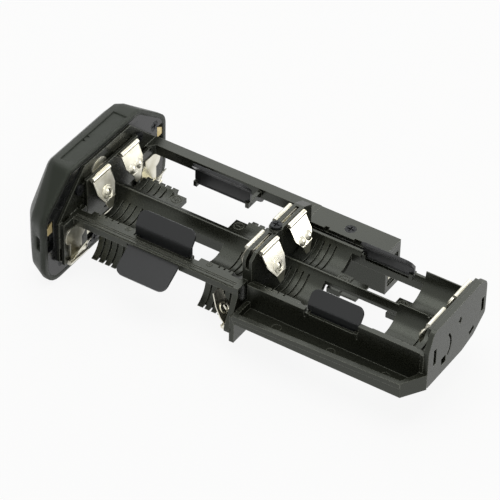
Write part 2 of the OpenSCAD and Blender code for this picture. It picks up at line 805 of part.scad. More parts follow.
housing_x = [x_mid + wing_t, x_mid + wing_t + housing_len];
housing_y = [17.4, 25.6];
lid_t = 1.4;
housing_z = [rail_z - housing_h, rail_z - lid_t];
housing_wall = 1.5;
lid_screw_at = [housing_x[0] + 13, 21.2];
lid_screw_l = 5.5;
post_r = 2.2;
blade_t = 0.8;
blade_y = [19.9, 22.6];
blade_pitch = 3;
function blade_z(i) = (housing_z[0] + housing_z[1]) / 2 + (i - (blade_count - 1) / 2) * blade_pitch;

module terminal_housing() {
    face_d = 0.7;
    inner_x = [housing_x[0] + housing_wall, housing_x[1] - housing_wall - face_d];
    color(frame_grey) difference() {
        union() {
            difference() {
                block(housing_x, housing_y, housing_z);
                block(inner_x, housing_y + [housing_wall, -housing_wall], housing_z + [housing_wall, over]);
            }
            translate([lid_screw_at[0], lid_screw_at[1], housing_z[0] + eps])
                cylinder(h = housing_z[1] - housing_z[0] - eps, r = post_r);
        }
        translate([lid_screw_at[0], lid_screw_at[1], housing_z[1] - lid_screw_l - 0.5])
            cylinder(h = lid_screw_l + over, r = screw_r + fit);
        block([housing_x[1] - face_d, housing_x[1] + over], housing_y + [1.2, -1.2], housing_z + [2, -2]);
        for (i = [0:blade_count - 1])
            block([inner_x[1] - over, housing_x[1] + over], blade_y + [-eps, eps],
                about(blade_z(i), blade_t / 2 + eps));
    }
}

module terminal_lid() {
    small_notch = span_at(housing_x[0], 6, 7.6);
    long_notch = housing_x[0] + 16.5;
    color(frame_grey) difference() {
        block(housing_x, housing_y, [housing_z[1], rail_z]);
        block(small_notch, span_at(housing_y[0], -over, 0.9), [housing_z[1] - over, rail_z + over]);
        block([long_notch, housing_x[1] + over], span_at(housing_y[0], -over, 0.7),
            [housing_z[1] - over, rail_z + over]);
        translate([lid_screw_at[0], lid_screw_at[1], housing_z[1] - over]) cylinder(h = 4, r = screw_r + fit);
        translate([lid_screw_at[0], lid_screw_at[1], rail_z - head_h]) cylinder(h = 4, r = head_r + fit);
    }
}

module lid_screw()
    color(screw_dark) translate([lid_screw_at[0], lid_screw_at[1], 0]) rotate([0, -90, 0])
        screw_x(housing_z[1] - lid_screw_l, rail_z, 0, 0);

module terminal_blades()
    color(nickel) for (i = [0:blade_count - 1])
        block([lid_screw_at[0] + post_r, housing_x[1] - 0.5], blade_y, about(blade_z(i), blade_t / 2));

// CONTACTS

bore_r = fold_r - strip_t;
knuckle_r = bore_r - fit;
dome_h = 0.7;
leaf_swing = 8;
span_left = x_mid - 2 * fold_r;
span_right = right_bay - 2 * fold_r;
reach_left = (span_left - cell_len + squeeze) / 2;
reach_right = (span_right - cell_len + squeeze) / 2;
drop_upper = upper_drop - fold_r;
drop_cap = lower_z - low_fold_cap;
drop_mid = lower_z - low_fold_mid;
function lean(reach, drop) = atan((reach - dome_h) / drop);

// Flat strip that leaves the fold axis at an angle from straight down
module strip_at(angle) rotate([0, -90 - angle, 0]) rotate([0, 0, 90]) children();

// Low dome that bulges into the bay from a strip
module dome(y, s, r, h) {
    ball_r = (r * r + h * h) / (2 * h);
    intersection() {
        translate([y, s, ball_r - h - strip_t / 2]) sphere(ball_r);
        translate([y, s, -h - over]) cylinder(h = h + over, r = r);
    }
}

// Leaf forms: half widths of root, neck and tip, tip length and lean, dome radius, dome places across
button_form = [leaf_w / 2, 2.4, 0.9, 3.4, 6, 2.2, [0]];
twin_form = [leaf_w / 2, 2.4, 0.9, 3.4, 6, 1.6, [-1.7, 1.7]];
tongue_form = [2.2, 1.5, 1.1, 3, 30, 1.3, [0]];
wide_form = [3.4, 2.6, 2.1, 4.5, 18, 1.8, [0]];

// One leaf, drawn about its fold axis: rolled knuckle, leaning strip with its domes, bent tip
module leaf_shape(reach, drop, form) {
    root = form[0];
    neck = form[1];
    tip = form[2];
    tip_len = form[3];
    dome_r = form[5];
    places = form[6];
    a = lean(reach, drop);
    run = drop / cos(a);
    bend = run + dome_r + 0.3;
    taper = run - 1.2;
    rotate([90, 0, 0]) cylinder(h = leaf_w, r = knuckle_r, center = true);
    strip_at(a) difference() {
        union() {
            linear_extrude(strip_t, center = true)
                polygon(mirrored([[root, 0], [root, taper], [neck, bend]]));
            for (s = places) dome(s, run, dome_r, dome_h);
        }
        if (len(places) == 1) translate([0.3, run, 0]) cube([0.7, 1.8, 4], center = true);
    }
    translate([bend * sin(a), 0, -bend * cos(a)]) strip_at(form[4]) translate([0, -0.12, 0])
        linear_extrude(strip_t, center = true) polygon(mirrored([[neck, 0], [tip, tip_len]]));
}

// Clip that holds a leaf: barrel round the knuckle, strap through or over the wall, bent back leg
module clip_shape(reach, drop, strap_z, leg_w) {
    a = lean(reach, drop);
    back = -fold_r - wall_t;
    leg_len = 4;
    mouth = strip_t + 0.5;
    difference() {
        union() {
            rotate([90, 0, 0]) cylinder(h = leaf_w, r = fold_r, center = true);
            block([back - strip_t, 0], [-1, 1] * leaf_w / 2, [strap_z, strap_z + strip_t]);
            block([back - strip_t, back], [-1, 1] * leg_w / 2, [-leg_len, strap_z + strip_t]);
        }
        rotate([90, 0, 0]) cylinder(h = leaf_w + over, r = bore_r, center = true);
        for (turn = [0, leaf_swing / 2, leaf_swing]) strip_at(a - turn)
            translate([-leaf_w, 0, -mouth / 2]) cube([2 * leaf_w, 2 * fold_r, mouth]);
    }
}

module at_fold(x, way, side, y, z, hang)
    translate([x + way * fold_r, side * y, z]) facing(way) hung(hang) children();
module upper_fold(x, way, side) at_fold(x, way, side, upper_y, fold_z, 1) children();
module lower_fold(x, way, side, z) at_fold(x, way, side, lower_y, z, -1) children();

module upper_clips()
    color(nickel) for (side = [-1, 1]) {
        upper_fold(0, 1, side) clip_shape(reach_left, drop_upper, -strip_t / 2, leaf_w);
        upper_fold(x_mid, -1, side) clip_shape(reach_left, drop_upper, -strip_t / 2, leaf_w);
        upper_fold(x_right, 1, side) clip_shape(reach_right, drop_upper, -strip_t / 2, leaf_w);
        upper_fold(x_last, -1, side) clip_shape(reach_right, drop_upper, -strip_t / 2, leaf_w);
    }

// Lobed plate on the cap wall behind a lower leaf, in Y and Z
module backing_plate() {
    low = low_fold_cap + 0.4;
    high = shelf_z - 3.2;
    half = 2.9;
    translate([lower_y - half, low]) square([2 * half, high - low]);
    translate([lower_y + 2.6, lower_z + 4]) circle(2.6);
    translate([lower_y - 2.8, lower_z + 3]) circle(2.2);
}

module lower_clips()
    color(nickel) for (side = [-1, 1]) {
        lower_fold(0, 1, side, low_fold_cap) clip_shape(reach_left, drop_cap, bore_r, low_leg_w);
        lower_fold(x_mid, -1, side, low_fold_mid) clip_shape(reach_left, drop_mid, bore_r, low_leg_w);
        on_side(side) along_x([0, strip_t]) backing_plate();
    }

// Strips behind the walls that join the clips in series
module link_strips() {
    link_w = 2;
    link_half = upper_y + 3.5;
    link_z = [-2.2 - link_w, -2.2];
    tab_r = 4;
    tab_y = -5;
    thin = [x_head, -wall_t - strip_t];
    color(nickel) {
        block(thin, [-1, 1] * link_half, link_z);
        intersection() {
            rod_x(thin, tab_y, link_z[0] + 2.6, tab_r);
            block(thin, about(tab_y, tab_r), [link_z[1] - eps, tab_r]);
        }
        block(thin, [-1, 1] * (lower_y + 3), span_at(low_fold_cap, 1.8, 3.6));
        block([x_last + wall_t + strip_t, x_plate], [-1, 1] * link_half, link_z);
        both_sides()
            block([x_mid + wall_t + strip_t, x_right - wall_t - strip_t], about(upper_y, 2), link_z);
    }
}

module upper_leaf(x, way, side, reach, form)
    color(nickel) upper_fold(x, way, side) leaf_shape(reach, drop_upper, form);
module leaf_cap_near() upper_leaf(0, 1, -1, reach_left, button_form);
module leaf_cap_far() upper_leaf(0, 1, 1, reach_left, twin_form);
module leaf_mid_near() upper_leaf(x_mid, -1, -1, reach_left, twin_form);
module leaf_mid_far() upper_leaf(x_mid, -1, 1, reach_left, button_form);
module leaf_right_near() upper_leaf(x_right, 1, -1, reach_right, button_form);
module leaf_right_far() upper_leaf(x_right, 1, 1, reach_right, twin_form);
module leaf_end_near() upper_leaf(x_last, -1, -1, reach_right, twin_form);
module leaf_end_far() upper_leaf(x_last, -1, 1, reach_right, button_form);

module cap_low_leaf(side)
    color(nickel) lower_fold(0, 1, side, low_fold_cap) leaf_shape(reach_left, drop_cap, tongue_form);
module mid_low_leaf(side)
    color(nickel) lower_fold(x_mid, -1, side, low_fold_mid) leaf_shape(reach_left, drop_mid, wide_form);
module leaf_cap_low_near() cap_low_leaf(-1);
module leaf_cap_low_far() cap_low_leaf(1);
module leaf_mid_low_near() mid_low_leaf(-1);
module leaf_mid_low_far() mid_low_leaf(1);

// FLAPS

// Rounded flap sheet, drawn flat with its root on the X axis
module flap_sheet(len, high, r)
    linear_extrude(flap_t, center = true)
        polygon(rounded([[-len / 2, 0], [len / 2, 0], [len / 2, high], [-len / 2, high]], [0, 0, r, r]));

// Bead with two end pins along X
module flap_bead(len) {
    rod_x([-len / 2, len / 2], 0, 0, bead_r);
    for (pin_x = [[-len / 2 - pin_len, eps - len / 2], [len / 2 - eps, len / 2 + pin_len]])
        rod_x(pin_x, 0, 0, flap_pin_r);
}

// Flap that stands beside an upper cell between its lugs and leans over the cell towards +Y
left_stand = 4.9;
right_stand = 3.2;
module upper_flap(len, stand) {
    over_len = 5;
    bow = 38;
    sink = 0.12;
    foot = len / 2 - lug_t - flap_room;
    clear = lug_top + flap_room;
    half = len / 2 - fit;
    flap_bead(2 * foot);
    rotate([90, 0, 0]) linear_extrude(flap_t, center = true)
        polygon(mirrored([[foot - fit, 0], [foot - fit, clear], [half, clear], [half, stand]]));
    translate([0, 0, stand]) rotate([90 - bow, 0, 0]) translate([0, -sink, 0])
        flap_sheet(len, over_len + sink, 2.4);
}

// Flap that slopes down and out over a lower cell, towards +Y
module lower_flap(len, high, slope) {
    flap_bead(len);
    rotate([-slope, 0, 0]) flap_sheet(len - 2 * fit, high, 2.6);
}

// Height and slope of the lower flaps
low_near_high = 9.6;
low_near_slope = 31;
low_far_high = 8.2;
low_far_slope = 70;

module flap_at(x, y, z, side, out)
    color(flap_grey) translate([(x[0] + x[1]) / 2, side * y, z]) on_side(out) children();

module flap_left_near()
    flap_at(flap_left_x, hinge_y, hinge_z, -1, 1) upper_flap(flap_left_len, left_stand);
module flap_left_far()
    flap_at(flap_left_x, hinge_y, hinge_z, 1, -1) upper_flap(flap_left_len, left_stand);
module flap_right_near()
    flap_at(flap_right_x, hinge_y, hinge_z, -1, 1) upper_flap(flap_right_len, right_stand);
module flap_right_far()
    flap_at(flap_right_x, far_right_y, hinge_z, 1, -1) upper_flap(flap_right_len, right_stand);
module flap_low_near()
    flap_at(flap_low_x, low_hinge_near[0], low_hinge_near[1], -1, -1)
        lower_flap(flap_low_len, low_near_high, low_near_slope);
module flap_low_far()
    flap_at(flap_low_x, low_hinge_far[0], low_hinge_far[1], 1, 1)
        lower_flap(flap_low_len, low_far_high, low_far_slope);

place() cap_shell();
place() head_plate();
place() cap_screws();
place() bolt_keepers();
place() lock_knob();
place() cam_disc();
place() retaining_ring();
place() bolt_near();
place() bolt_far();
place() frame_left();
place() frame_screws();
place() mid_bulkhead();
place() bulkhead_screw();
place() frame_right();
place() end_plate();
place() terminal_housing();
place() terminal_lid();
place() lid_screw();
place() terminal_blades();
place() upper_clips();
place() lower_clips();
place() link_strips();
place() leaf_cap_near();
place() leaf_cap_far();
place() leaf_cap_low_near();
place() leaf_cap_low_far();
place() leaf_mid_near();
place() leaf_mid_far();
place() leaf_mid_low_near();
place() leaf_mid_low_far();
place() leaf_right_near();
place() leaf_right_far();
place() leaf_end_near();
place() leaf_end_far();
place() flap_left_near();
place() flap_left_far();
place() flap_low_near();
place() flap_low_far();
place() flap_right_near();
place() flap_right_far();
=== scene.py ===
# %% [markdown]
# # A six-cell magazine for a camera battery grip
#
# The magazine is an open tray of dark moulded plastic. Two cells lie side by side in the upper
# row of each half and two more lie under the left half, open to the outside. Sprung metal leaves
# touch the cells at both ends, plastic flaps hold them in, and a cap with a quarter-turn lock
# closes the chamber of the grip.
#
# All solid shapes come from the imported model. This script gives them their finishes, adds the
# small pressed, printed and moulded details, and sets up a studio shot.

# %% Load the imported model
import json
import math

import bmesh
import bpy
from mathutils import Matrix, Vector


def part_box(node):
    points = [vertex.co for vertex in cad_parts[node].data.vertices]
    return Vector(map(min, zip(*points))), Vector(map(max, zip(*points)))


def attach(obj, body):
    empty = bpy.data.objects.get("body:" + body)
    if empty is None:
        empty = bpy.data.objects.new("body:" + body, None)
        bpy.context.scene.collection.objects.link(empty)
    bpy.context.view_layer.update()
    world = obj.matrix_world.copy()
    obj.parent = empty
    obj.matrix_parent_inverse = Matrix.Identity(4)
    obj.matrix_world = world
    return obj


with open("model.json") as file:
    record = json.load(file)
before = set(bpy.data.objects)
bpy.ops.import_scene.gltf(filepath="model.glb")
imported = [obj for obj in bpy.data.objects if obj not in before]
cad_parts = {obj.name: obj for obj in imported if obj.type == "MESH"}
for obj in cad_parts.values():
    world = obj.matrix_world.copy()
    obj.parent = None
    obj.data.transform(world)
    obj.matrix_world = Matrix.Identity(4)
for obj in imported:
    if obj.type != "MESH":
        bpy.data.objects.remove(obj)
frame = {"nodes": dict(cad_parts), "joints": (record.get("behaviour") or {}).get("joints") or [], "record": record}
nodes = frame["nodes"]
hinges = {joint["child"]: joint for joint in frame["joints"]}
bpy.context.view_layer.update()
MM = 0.001
print("nodes:", len(nodes), "joints:", len(hinges))

# %% [markdown]
# ## Colours and nodes
#
# Colours are written as the hex values a picture editor shows. Blender's shaders work in linear
# light, so one function converts them. A second small function adds a shader node, sets its
# properties and fills its inputs: a socket is linked, anything else is set as a value.

# %% Colours and nodes
def linear(text):
    """Linear RGBA of an sRGB hex value."""
    parts = [int(text[i:i + 2], 16) / 255 for i in (1, 3, 5)]
    return [c / 12.92 if c <= 0.04045 else ((c + 0.055) / 1.055) ** 2.4 for c in parts] + [1.0]


def add(tree, kind, settings=None, inputs=None):
    """New shader node with its settings, values and links."""
    node = tree.nodes.new("ShaderNode" + kind)
    for name, value in (settings or {}).items():
        setattr(node, name, value)
    for name, value in (inputs or {}).items():
        if isinstance(value, bpy.types.NodeSocket):
            tree.links.new(value, node.inputs[name])
        else:
            node.inputs[name].default_value = value
    return node


def blank(name):
    """New material with one shader, ready for its nodes."""
    material = bpy.data.materials.new(name)
    material.use_nodes = True
    tree = material.node_tree
    tree.nodes.clear()
    shader = add(tree, "BsdfPrincipled")
    add(tree, "OutputMaterial", inputs={"Surface": shader.outputs["BSDF"]})
    return material, tree, shader


# Places of the colour sockets on a Mix node
MIX_FACTOR, MIX_A, MIX_B, MIX_OUT = 0, 6, 7, 2
# Rays that a Bevel node sends out to find an edge
EDGE_RAYS = 4


def per_mm(size):
    """Noise scale whose features are about this many millimetres across."""
    return 1 / (size * MM)


print("charcoal in linear light:", [round(c, 4) for c in linear("#2b2c28")])

# %% [markdown]
# ## A moulded skin
#
# Plastic from a mould is never quite flat. The steel was spark eroded, which leaves a fine grit,
# the melt shrinks a little, which leaves slow waves, and every edge has a small radius that
# catches a line of light. The solids have sharp edges, so a Bevel node rounds them in the shading,
# and the same node tells where an edge is. There the colour is painted paler: partly handling
# wear, which polishes edges, and partly a painted highlight for that line of light.
# The real grit is about 0.1 mm, finer than a pixel here, so it is drawn coarser to show.

# %% A moulded skin
SHRINK_WAVE = 22  # millimetres from one slow wave to the next
GLOSS_SPREAD = 0.06  # how far the grit varies the roughness


def moulded_skin(tree, shader, dark, pale, wear_and_highlight, grit, depth, edge, rough=None):
    """Gives a shader the colour, grit, waves, worn edges with a painted highlight and, if stated, roughness of a
    moulding.
    """
    place = add(tree, "TexCoord").outputs["Object"]
    waves = add(tree, "TexNoise", inputs={"Vector": place, "Scale": per_mm(SHRINK_WAVE), "Detail": 3.0})
    cloud = add(tree, "MapRange", inputs={"Value": waves.outputs["Fac"], "From Min": 0.35, "From Max": 0.65})
    fine = add(tree, "TexNoise", inputs={"Vector": place, "Scale": per_mm(grit), "Detail": 2.0})
    body = add(tree, "Mix", {"data_type": "RGBA"}, {MIX_FACTOR: cloud.outputs["Result"],
                                                    MIX_A: linear(dark), MIX_B: linear(pale)})
    rounded = add(tree, "Bevel", {"samples": EDGE_RAYS}, {"Radius": edge * MM})
    flat = add(tree, "NewGeometry").outputs["Normal"]
    turn = add(tree, "VectorMath", {"operation": "DOT_PRODUCT"})
    tree.links.new(rounded.outputs["Normal"], turn.inputs[0])
    tree.links.new(flat, turn.inputs[1])
    rim = add(tree, "MapRange", inputs={"Value": turn.outputs["Value"], "From Min": 0.985, "From Max": 0.8})
    patchy = add(tree, "Math", {"operation": "MULTIPLY"})
    tree.links.new(rim.outputs["Result"], patchy.inputs[0])
    tree.links.new(fine.outputs["Fac"], patchy.inputs[1])
    # Edges get the third colour: partly wear, partly a painted highlight.
    rubbed_and_highlit = add(tree, "Mix", {"data_type": "RGBA"}, {MIX_FACTOR: patchy.outputs["Value"],
                                                      MIX_A: body.outputs[MIX_OUT], MIX_B: linear(wear_and_highlight)})
    bump = add(tree, "Bump", inputs={"Height": fine.outputs["Fac"], "Distance": depth * MM,
                                     "Strength": 0.6, "Normal": rounded.outputs["Normal"]})
    tree.links.new(rubbed_and_highlit.outputs[MIX_OUT], shader.inputs["Base Color"])
    tree.links.new(bump.outputs["Normal"], shader.inputs["Normal"])
    if rough is not None:
        sheen = add(tree, "MapRange", inputs={"Value": fine.outputs["Fac"], "From Min": 0.3, "From Max": 0.7,
                                              "To Min": rough - GLOSS_SPREAD,
                                              "To Max": rough + GLOSS_SPREAD})
        tree.links.new(sheen.outputs["Result"], shader.inputs["Roughness"])


print("skin ready")

# %% [markdown]
# ## Frame: glass-filled nylon, moulded
#
# The tray, the bulkhead and the terminal block are a charcoal moulding with a slight olive cast.
# Its base is almost black: the grey that the eye sees on the upper faces is the pale room mirrored
# in a half-gloss skin, so the base colour stays dark and the gloss does the rest. A faint tint on
# that reflection gives the cast. The edges are painted pale, mostly a painted highlight with a
# little rubbing wear in it, so ribs and grooves read as thin lines.

# %% Frame material
def moulded_nylon():
    material, tree, shader = blank("moulded_nylon")
    # a3a496 paints the edges pale: a painted highlight, with a little rubbing wear in it.
    moulded_skin(tree, shader, "#14150f", "#1d1e17", "#a3a496", grit=0.5, depth=0.002, edge=0.3, rough=0.3)
    shader.inputs["IOR"].default_value = 1.53
    shader.inputs["Specular Tint"].default_value = linear("#f9fff1")
    return material


nylon = moulded_nylon()
print("made", nylon.name)

# %% [markdown]
# ## Cap: soft-touch paint over ABS
#
# The cap is what the hand meets. It has a rubbery matt paint, a shade lighter than the tray, whose
# rounded rim glows softly: a painted highlight, the edge colour painted paler over a wide band.
# The edges under the paint are wide and soft, so the Bevel node has a large radius here, which widens
# that band, and a little sheen gives the velvety edge of such paint.

# %% Cap material
def soft_touch():
    material, tree, shader = blank("soft_touch_paint")
    # 4a4d46 is a painted soft highlight on the rounded rim, not wear.
    moulded_skin(tree, shader, "#161813", "#1d1f1a", "#4a4d46", grit=0.8, depth=0.002, edge=2.2, rough=0.38)
    shader.inputs["Specular IOR Level"].default_value = 0.3
    shader.inputs["Specular Tint"].default_value = linear("#f3ffed")
    shader.inputs["IOR"].default_value = 1.5
    shader.inputs["Sheen Weight"].default_value = 0.03
    shader.inputs["Sheen Roughness"].default_value = 0.4
    return material


soft_paint = soft_touch()
print("made", soft_paint.name)

# %% [markdown]
# ## Inner plate: polished ABS
#
# The plate that closes the cap came from a polished mould, so it is black and mirrors the contacts.
# Handling leaves hair lines. They are noise stretched along one axis: 6 mm long and 0.4 mm wide.

# %% Inner plate material
def polished_abs():
    material, tree, shader = blank("polished_abs")
    # 4a4b4b paints the edges paler: partly wear, partly a painted highlight.
    moulded_skin(tree, shader, "#0f1011", "#151617", "#4a4b4b", grit=1.2, depth=0.004, edge=0.2)
    place = add(tree, "TexCoord").outputs["Object"]
    length, width = 6, 0.4
    drawn = add(tree, "Mapping", inputs={"Vector": place, "Scale": (1 / width, 1 / length, 1 / width)})
    hair = add(tree, "TexNoise", inputs={"Vector": drawn.outputs["Vector"], "Scale": per_mm(1),
                                         "Detail": 2.0})
    scuff = add(tree, "MapRange", inputs={"Value": hair.outputs["Fac"], "From Min": 0.55, "From Max": 0.75,
                                          "To Min": 0.14, "To Max": 0.4})
    tree.links.new(scuff.outputs["Result"], shader.inputs["Roughness"])
    return material


gloss_abs = polished_abs()
print("made", gloss_abs.name)

# %% [markdown]
# ## Flaps: acetal
#
# The flaps give way each time a cell goes in, so they are acetal, a tough and slippery plastic. Theirs is
# black with a trace of blue, smoother than the tray and a little waxy, which a thin rough coat gives.

# %% Flap material
def acetal():
    material, tree, shader = blank("acetal")
    # 4c4f51 paints the edges paler: partly wear, partly a painted highlight.
    moulded_skin(tree, shader, "#0e1011", "#151718", "#4c4f51", grit=0.6, depth=0.003, edge=0.3, rough=0.34)
    shader.inputs["IOR"].default_value = 1.48
    shader.inputs["Coat Weight"].default_value = 0.06
    shader.inputs["Coat Roughness"].default_value = 0.35
    return material


flap_plastic = acetal()
print("made", flap_plastic.name)

# %% [markdown]
# ## Contacts: nickel-plated spring steel
#
# The leaves are stamped from rolled strip. Rolling leaves lines along the strip, plating gives a warm
# white mirror, and cells leave rubbed, greyer patches. The lines are noise stretched along the strip:
# 5 mm long and 0.25 mm wide, wider than real ones so that they show.

# %% Contact material
def plated_strip():
    material, tree, shader = blank("nickel_plated_strip")
    place = add(tree, "TexCoord").outputs["Object"]
    length, width = 5, 0.25
    rolled = add(tree, "Mapping", inputs={"Vector": place, "Scale": (1 / length, 1 / width, 1 / length)})
    lines = add(tree, "TexNoise", inputs={"Vector": rolled.outputs["Vector"], "Scale": per_mm(1),
                                          "Detail": 3.0})
    rubs = add(tree, "TexNoise", inputs={"Vector": place, "Scale": per_mm(4), "Detail": 4.0})
    tarnish = add(tree, "MapRange", inputs={"Value": rubs.outputs["Fac"], "From Min": 0.4, "From Max": 0.7})
    plate = add(tree, "Mix", {"data_type": "RGBA"}, {MIX_FACTOR: tarnish.outputs["Result"],
                                                    MIX_A: linear("#e9e6d8"), MIX_B: linear("#d3cfba")})
    dull = add(tree, "MapRange", inputs={"Value": lines.outputs["Fac"], "From Min": 0.3, "From Max": 0.7,
                                         "To Min": 0.28, "To Max": 0.34})
    rounded = add(tree, "Bevel", {"samples": EDGE_RAYS}, {"Radius": 0.12 * MM})
    bump = add(tree, "Bump", inputs={"Height": lines.outputs["Fac"], "Distance": 0.001 * MM,
                                     "Strength": 0.2, "Normal": rounded.outputs["Normal"]})
    tree.links.new(plate.outputs[MIX_OUT], shader.inputs["Base Color"])
    tree.links.new(dull.outputs["Result"], shader.inputs["Roughness"])
    tree.links.new(bump.outputs["Normal"], shader.inputs["Normal"])
    shader.inputs["Metallic"].default_value = 1.0
    return material


nickel = plated_strip()
print("made", nickel.name)

# %% [markdown]
# ## Lock parts and screws
#
# The bolts, the cam and its ring are stamped steel with a tumbled finish, the keepers beside the bolts
# are brass, and the screws are black zinc. All three are metals with a mottled surface that differs in
# colour, gloss and grain, so one function makes them from those facts.

# %% Lock and screw materials
def tumbled_metal(name, bright, dull, grain, rough, spread=0.08):
    """Metal with two mottled tones, whose roughness varies by a spread."""
    material, tree, shader = blank(name)
    place = add(tree, "TexCoord").outputs["Object"]
    mottle = add(tree, "TexNoise", inputs={"Vector": place, "Scale": per_mm(grain), "Detail": 5.0})
    tone = add(tree, "MapRange", inputs={"Value": mottle.outputs["Fac"], "From Min": 0.35, "From Max": 0.65})
    skin = add(tree, "Mix", {"data_type": "RGBA"}, {MIX_FACTOR: tone.outputs["Result"],
                                                   MIX_A: linear(bright), MIX_B: linear(dull)})
    gloss = add(tree, "MapRange", inputs={"Value": mottle.outputs["Fac"], "From Min": 0.3, "From Max": 0.7,
                                          "To Min": rough - spread, "To Max": rough + spread})
    rounded = add(tree, "Bevel", {"samples": EDGE_RAYS}, {"Radius": 0.15 * MM})
    bump = add(tree, "Bump", inputs={"Height": mottle.outputs["Fac"], "Distance": 0.008 * MM,
                                     "Strength": 0.4, "Normal": rounded.outputs["Normal"]})
    tree.links.new(skin.outputs[MIX_OUT], shader.inputs["Base Color"])
    tree.links.new(gloss.outputs["Result"], shader.inputs["Roughness"])
    tree.links.new(bump.outputs["Normal"], shader.inputs["Normal"])
    shader.inputs["Metallic"].default_value = 1.0
    return material


steel = tumbled_metal("tumbled_steel", "#cbcccd", "#9fa0a1", grain=1.5, rough=0.28)
brass = tumbled_metal("dull_brass", "#e2d2a4", "#c4b17e", grain=2.0, rough=0.42)
black_zinc = tumbled_metal("black_zinc", "#3a3b3c", "#242526", grain=1.0, rough=0.38)
print("made", steel.name, brass.name, black_zinc.name)

# %% [markdown]
# ## Dressing the nodes
#
# The record names one material slot for each node. That list decides which finish a node gets, so a
# new node is dressed as soon as it is in the record.

# %% Dress the nodes
finishes = {"cap_shell": soft_paint, "head_plate": gloss_abs, "frame": nylon, "flaps": flap_plastic,
            "contacts": nickel, "steel": steel, "brass": brass, "screws": black_zinc}
for part in frame["record"]["subparts"]:
    mesh = nodes[part["node"]].data
    mesh.materials.clear()
    mesh.materials.append(finishes[part["material_slot"]])

# %% [markdown]
# ## Helpers for small pieces
#
# Small pieces are meshes made with bmesh in the frame of the object, in metres. A lathe turns a
# profile round an axis, which makes eyelets, rings and dots. Each piece rides on the body that
# carries it, so it moves with the joints.

# %% Helpers for small pieces
def piece(name, mesh, finish, body):
    """New object from a bmesh that rides on a body and shows a finish."""
    data = bpy.data.meshes.new(name)
    mesh.to_mesh(data)
    mesh.free()
    data.materials.append(finish)
    thing = bpy.data.objects.new(name, data)
    bpy.context.scene.collection.objects.link(thing)
    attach(thing, body)
    return thing


def turn_profile(mesh, profile, place, steps=40):
    """Adds a closed ring whose (radius, height) profile is turned round the Z axis of a matrix."""
    rings = []
    for i in range(steps):
        angle = 2 * math.pi * i / steps
        rings.append([mesh.verts.new(place @ Vector((r * math.cos(angle), r * math.sin(angle), h)))
                      for r, h in profile])
    for i, ring in enumerate(rings):
        after = rings[(i + 1) % steps]
        for j in range(len(profile)):
            k = (j + 1) % len(profile)
            mesh.faces.new((ring[j], after[j], after[k], ring[k])).smooth = True


def round_profile(inner, outer, height, sink, steps=8):
    """Profile of a ring with a half-round top, sunk a little into what carries it."""
    middle, half = (inner + outer) / 2, (outer - inner) / 2
    top = [(middle + half * math.cos(math.pi * i / steps), height * math.sin(math.pi * i / steps))
           for i in range(steps + 1)]
    return [(outer, -sink)] + top + [(inner, -sink)]


def facing(point, normal):
    """Matrix that puts the origin at a point with its Z axis along a normal."""
    return Matrix.Translation(point) @ Vector(normal).to_track_quat("Z", "Y").to_matrix().to_4x4()


def touch(node, start, direction):
    """Point and normal where a ray meets a node."""
    hit, point, normal, _ = nodes[node].ray_cast(start, direction)
    if not hit:
        raise ValueError(f"no surface of {node} on the way from {start}")
    return point, normal


print("helpers ready")

# %% [markdown]
# ## Eyelets on the contact leaves
#
# Where a leaf touches a cell, it is pressed into a dome with a slot, and an eyelet is rolled into it: a
# rim at the foot of the dome and a lip round the slot. They are too fine for the solids. A ray along the
# bay finds the dome on each leaf that has a single dome, and the turned rings sit there, square to the
# strip. The rolling also leaves a rim on the back of the leaf.

# %% Eyelets on the contact leaves
single_dome = ["leaf_cap_near", "leaf_mid_far", "leaf_right_near", "leaf_end_far",
               "leaf_mid_low_near", "leaf_mid_low_far"]
upper_drop = 5.9 * MM
lower_drop = 3.0 * MM
dome_side = 2.35 * MM
clear_way = 20 * MM
strip = 0.35 * MM
foot_rim = round_profile(inner=1.85 * MM, outer=2.3 * MM, height=0.3 * MM, sink=0.2 * MM)
slot_lip = round_profile(inner=1.0 * MM, outer=1.4 * MM, height=0.24 * MM, sink=0.3 * MM)
back_rim = round_profile(inner=1.35 * MM, outer=1.9 * MM, height=0.3 * MM, sink=0.1 * MM)
lip_rise = 0.45 * MM
for name in single_dome:
    pivot = Vector(hinges[name]["pos_m"])
    way = 1 if name.startswith(("leaf_cap", "leaf_right")) else -1
    drop = -lower_drop if "low" in name else upper_drop
    beside = Vector((pivot.x + way * clear_way, pivot.y + dome_side, pivot.z - drop))
    point, normal = touch(name, beside, Vector((-way, 0, 0)))
    centre = Vector((point.x, pivot.y, point.z))
    lean = Vector((normal.x, 0, normal.z)).normalized()
    rings = bmesh.new()
    turn_profile(rings, foot_rim, facing(centre, lean))
    turn_profile(rings, slot_lip, facing(centre + lip_rise * lean, lean))
    turn_profile(rings, back_rim, facing(centre - strip * lean, -lean))
    piece("eyelet_" + name, rings, nickel, name)
print("eyelets:", len(single_dome))

# %% [markdown]
# ## Ridges on the lock knob
#
# The bar across the knob is turned with two fingers, so its flanks have moulded ridges. Each ridge is
# a half-round rod along the knob's axis, repeated along the bar on both flanks.

# %% Ridges on the lock knob
def ridge_rod(mesh, start, length, out, radius, steps=6):
    """Adds a half-round ridge that runs along X from a start point and bulges towards out."""
    across = Vector((1, 0, 0)).cross(out)
    loops = []
    for x in (0, length):
        loops.append([mesh.verts.new(start + Vector((x, 0, 0)) + radius * (
            across * math.cos(math.pi * i / steps) + out * math.sin(math.pi * i / steps)))
            for i in range(steps + 1)])
    for i in range(steps):
        mesh.faces.new((loops[0][i], loops[0][i + 1], loops[1][i + 1], loops[1][i])).smooth = True
    for loop in loops:
        mesh.faces.new(loop)
    mesh.faces.new((loops[0][0], loops[1][0], loops[1][-1], loops[0][-1]))


